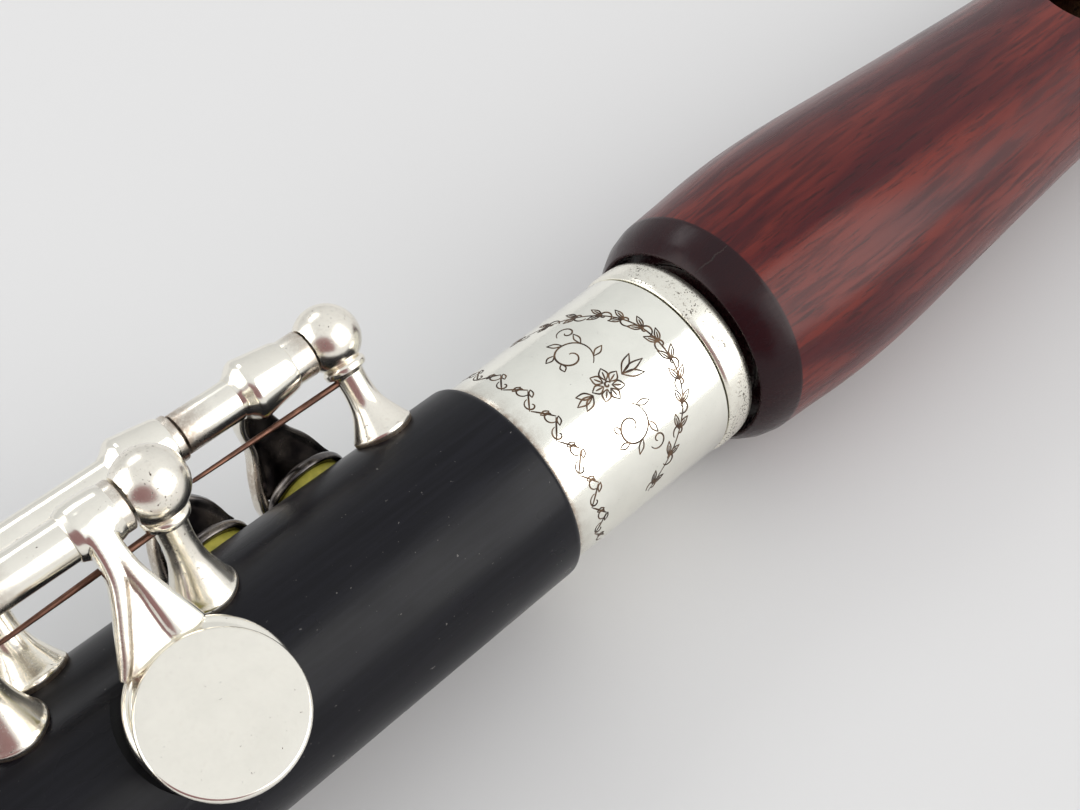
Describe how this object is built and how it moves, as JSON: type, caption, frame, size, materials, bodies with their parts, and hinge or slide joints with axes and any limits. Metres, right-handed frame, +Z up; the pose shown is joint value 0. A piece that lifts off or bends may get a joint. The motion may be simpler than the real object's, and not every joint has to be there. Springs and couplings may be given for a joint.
{
  "type": "piccolo",
  "caption": "Wooden piccolo: black body, metal barrel, red wood head joint, sprung keywork on ball posts, tuning slide and adjustable stopper.",
  "frame": {"origin": "bottom centre of the bounding box, on the surface the piccolo lies on", "axes": "+X along the tube towards the head's crown, +Z up as it lies with its embouchure hole uppermost, so the rods are on the +Y side and the finger keys lean to -Y"},
  "size_m": [0.3122, 0.031, 0.0315],
  "materials": {
    "grenadilla": "satin",
    "rosewood": "polished",
    "silver_tube": "polished",
    "silver_keywork": "polished",
    "steel": "satin",
    "blued_steel": "satin",
    "pad_skin": "satin",
    "cork": "matte"
  },
  "bodies": {
    "body": {"barrel_ring": "silver_tube", "barrel_tube": "silver_tube", "body_wood": "grenadilla", "foot_ring": "silver_tube", "post_dsharp_1": "silver_keywork", "post_dsharp_2": "silver_keywork", "post_gsharp_1": "silver_keywork", "post_gsharp_2": "silver_keywork", "post_main_1": "silver_keywork", "post_main_2": "silver_keywork", "post_main_3": "silver_keywork", "post_main_4": "silver_keywork", "post_thumb_1": "silver_keywork", "post_thumb_2": "silver_keywork", "post_upper_1": "silver_keywork", "post_upper_2": "silver_keywork", "post_upper_3": "silver_keywork", "spring_csharp": "blued_steel", "spring_trill": "blued_steel", "steel_dsharp": "steel", "steel_gsharp": "steel", "steel_main": "steel", "steel_thumb": "steel"},
    "head_tube": {"head_tenon": "silver_tube"},
    "head": {"head_wood": "rosewood"},
    "crown": {"crown_cap": "silver_tube"},
    "stopper": {"stopper_cork": "cork", "stopper_screw": "steel"},
    "csharp_key": {"csharp_key": "silver_keywork", "csharp_pad": "pad_skin"},
    "bflat_key": {"bflat_key": "silver_keywork", "bflat_pad": "pad_skin"},
    "a_key": {"a_key": "silver_keywork", "a_pad": "pad_skin"},
    "g_key": {"g_key": "silver_keywork", "g_pad": "pad_skin"},
    "fsharp_key": {"fsharp_key": "silver_keywork", "fsharp_pad": "pad_skin"},
    "f_key": {"f_key": "silver_keywork", "f_pad": "pad_skin"},
    "e_key": {"e_key": "silver_keywork", "e_pad": "pad_skin"},
    "d_key": {"d_key": "silver_keywork", "d_pad": "pad_skin"},
    "gsharp_key": {"gsharp_key": "silver_keywork", "gsharp_pad": "pad_skin"},
    "dsharp_key": {"dsharp_key": "silver_keywork", "dsharp_pad": "pad_skin"},
    "thumb_b_key": {"thumb_b_key": "silver_keywork", "thumb_b_pad": "pad_skin"},
    "dsharp_trill": {"dsharp_trill_key": "silver_keywork", "dsharp_trill_pad": "pad_skin", "dsharp_trill_touch": "silver_keywork", "steel_trill": "steel"},
    "d_trill": {"d_trill_key": "silver_keywork", "d_trill_pad": "pad_skin"},
    "bflat_lever": {"bflat_thumb_lever": "silver_keywork"}
  },
  "joints": [
    {"name": "head_slide", "type": "slide", "parent": "body", "child": "head_tube", "axis": [1, 0, 0], "range_m": [0, 0.012]},
    {"name": "head_turn", "type": "hinge", "parent": "head_tube", "child": "head", "pos_m": [0.06185, 0.00045, 0.01085], "axis": [1, 0, 0], "range_deg": [-45, 45]},
    {"name": "crown_turn", "type": "hinge", "parent": "head", "child": "crown", "pos_m": [0.15185, 0.00045, 0.01085], "axis": [1, 0, 0], "range_deg": [-360, 360]},
    {"name": "cork_slide", "type": "slide", "parent": "head", "child": "stopper", "axis": [1, 0, 0], "range_m": [-0.00071, 0.00071]},
    {"name": "csharp_press", "type": "hinge", "parent": "body", "child": "csharp_key", "pos_m": [0.00385, 0.00556, 0.02759], "axis": [1, 0, 0], "range_deg": [0, 7.5], "stiffness_Nm_per_rad": 0.006, "springref_deg": -28.65},
    {"name": "bflat_press", "type": "hinge", "parent": "body", "child": "bflat_key", "pos_m": [-0.03015, 0.00556, 0.02759], "axis": [1, 0, 0], "range_deg": [0, 7.5], "stiffness_Nm_per_rad": 0.006, "springref_deg": -28.65},
    {"name": "a_press", "type": "hinge", "parent": "body", "child": "a_key", "pos_m": [-0.04215, 0.00556, 0.02759], "axis": [1, 0, 0], "range_deg": [0, 7.5], "stiffness_Nm_per_rad": 0.006, "springref_deg": -28.65},
    {"name": "g_press", "type": "hinge", "parent": "body", "child": "g_key", "pos_m": [-0.05415, 0.00556, 0.02759], "axis": [1, 0, 0], "range_deg": [0, 7.5], "stiffness_Nm_per_rad": 0.006, "springref_deg": -28.65},
    {"name": "fsharp_press", "type": "hinge", "parent": "body", "child": "fsharp_key", "pos_m": [-0.07515, 0.00556, 0.02759], "axis": [1, 0, 0], "range_deg": [0, 7.5], "stiffness_Nm_per_rad": 0.006, "springref_deg": -28.65},
    {"name": "f_press", "type": "hinge", "parent": "body", "child": "f_key", "pos_m": [-0.08915, 0.00556, 0.02759], "axis": [1, 0, 0], "range_deg": [0, 7.5], "stiffness_Nm_per_rad": 0.006, "springref_deg": -28.65},
    {"name": "e_press", "type": "hinge", "parent": "body", "child": "e_key", "pos_m": [-0.10315, 0.00556, 0.02759], "axis": [1, 0, 0], "range_deg": [0, 7.5], "stiffness_Nm_per_rad": 0.006, "springref_deg": -28.65},
    {"name": "d_press", "type": "hinge", "parent": "body", "child": "d_key", "pos_m": [-0.11715, 0.00556, 0.02759], "axis": [1, 0, 0], "range_deg": [0, 7.5], "stiffness_Nm_per_rad": 0.006, "springref_deg": -28.65},
    {"name": "dsharp_trill_press", "type": "hinge", "parent": "body", "child": "dsharp_trill", "pos_m": [0.01685, 0.01173, 0.02234], "axis": [1, 0, 0], "range_deg": [0, 8.5], "stiffness_Nm_per_rad": 0.006, "springref_deg": -28.65},
    {"name": "d_trill_press", "type": "hinge", "parent": "body", "child": "d_trill", "pos_m": [-0.02815, 0.01173, 0.02234], "axis": [1, 0, 0], "range_deg": [0, 8.5], "stiffness_Nm_per_rad": 0.006, "springref_deg": -28.65},
    {"name": "gsharp_press", "type": "hinge", "parent": "body", "child": "gsharp_key", "pos_m": [-0.06465, -0.01314, 0.01424], "axis": [1, 0, 0], "range_deg": [-12, 0], "stiffness_Nm_per_rad": 0.006, "springref_deg": 28.65},
    {"name": "dsharp_press", "type": "hinge", "parent": "body", "child": "dsharp_key", "pos_m": [-0.13415, -0.01234, 0.01655], "axis": [1, 0, 0], "range_deg": [-12, 0], "stiffness_Nm_per_rad": 0.006, "springref_deg": 28.65},
    {"name": "thumb_b_press", "type": "hinge", "parent": "body", "child": "thumb_b_key", "pos_m": [-0.02115, 0.01314, 0.01449], "axis": [1, 0, 0], "range_deg": [-11, 0], "stiffness_Nm_per_rad": 0.01, "springref_deg": 34.38},
    {"name": "bflat_lever_press", "type": "hinge", "parent": "body", "child": "bflat_lever", "pos_m": [-0.03115, 0.01314, 0.01449], "axis": [1, 0, 0], "range_deg": [-8, 0], "stiffness_Nm_per_rad": 0.006, "springref_deg": 28.65}
  ],
  "couplings": [
    {"joint": "cork_slide", "follows": "crown_turn", "m_per_rad": 0.00011141},
    {"joint": "fsharp_press", "follows": "f_press", "ratio": 1},
    {"joint": "bflat_press", "follows": "a_press", "ratio": 1}
  ]
}
